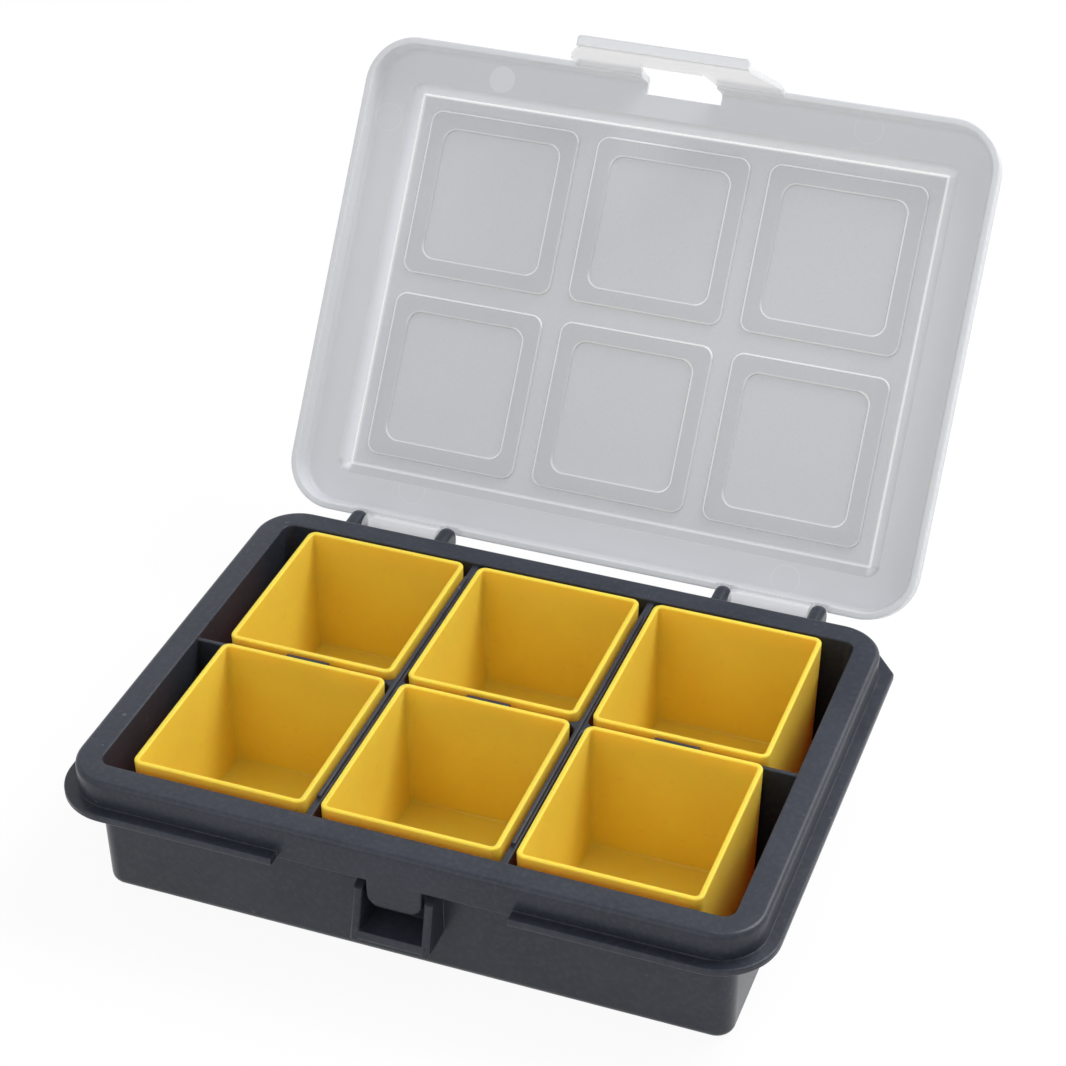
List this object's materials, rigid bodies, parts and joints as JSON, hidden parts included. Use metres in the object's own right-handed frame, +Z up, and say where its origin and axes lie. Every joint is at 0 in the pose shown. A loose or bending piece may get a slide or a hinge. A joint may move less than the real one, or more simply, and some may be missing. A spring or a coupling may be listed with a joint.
{
  "type": "hinged assortment box",
  "caption": "Low rectangular assortment box with a hinged translucent lid, a snap tab at the front and lift-out rectangular cups seated between dividers.",
  "frame": {"origin": "middle of the tray's flat underside", "axes": "+X along the front to the right, +Y from the latch to the hinge, +Z up out of the tray"},
  "size_m": [0.2106, 0.2567, 0.1843],
  "materials": {
    "charcoal_tray": "satin moulded charcoal polypropylene",
    "milky_lid": "milky translucent polypropylene with frosted rings",
    "yellow_cup": "yellow moulded polystyrene"
  },
  "bodies": {
    "tray": {"base_tray": "charcoal_tray"},
    "lid": {"lid": "milky_lid"},
    "cup_front_left": {"cup_front_left": "yellow_cup"},
    "cup_front_centre": {"cup_front_centre": "yellow_cup"},
    "cup_front_right": {"cup_front_right": "yellow_cup"},
    "cup_rear_left": {"cup_rear_left": "yellow_cup"},
    "cup_rear_centre": {"cup_rear_centre": "yellow_cup"},
    "cup_rear_right": {"cup_rear_right": "yellow_cup"}
  },
  "joints": [
    {"name": "lid_hinge", "type": "hinge", "parent": "tray", "child": "lid", "pos_m": [0, 0.0812, 0.0362], "axis": [-1, 0, 0], "range_deg": [-125, 0]},
    {"name": "cup_front_left_lift", "type": "slide", "parent": "tray", "child": "cup_front_left", "axis": [0, 0, 1], "range_m": [0, 0.06]},
    {"name": "cup_front_centre_lift", "type": "slide", "parent": "tray", "child": "cup_front_centre", "axis": [0, 0, 1], "range_m": [0, 0.06]},
    {"name": "cup_front_right_lift", "type": "slide", "parent": "tray", "child": "cup_front_right", "axis": [0, 0, 1], "range_m": [0, 0.06]},
    {"name": "cup_rear_left_lift", "type": "slide", "parent": "tray", "child": "cup_rear_left", "axis": [0, 0, 1], "range_m": [0, 0.06]},
    {"name": "cup_rear_centre_lift", "type": "slide", "parent": "tray", "child": "cup_rear_centre", "axis": [0, 0, 1], "range_m": [0, 0.06]},
    {"name": "cup_rear_right_lift", "type": "slide", "parent": "tray", "child": "cup_rear_right", "axis": [0, 0, 1], "range_m": [0, 0.06]}
  ]
}
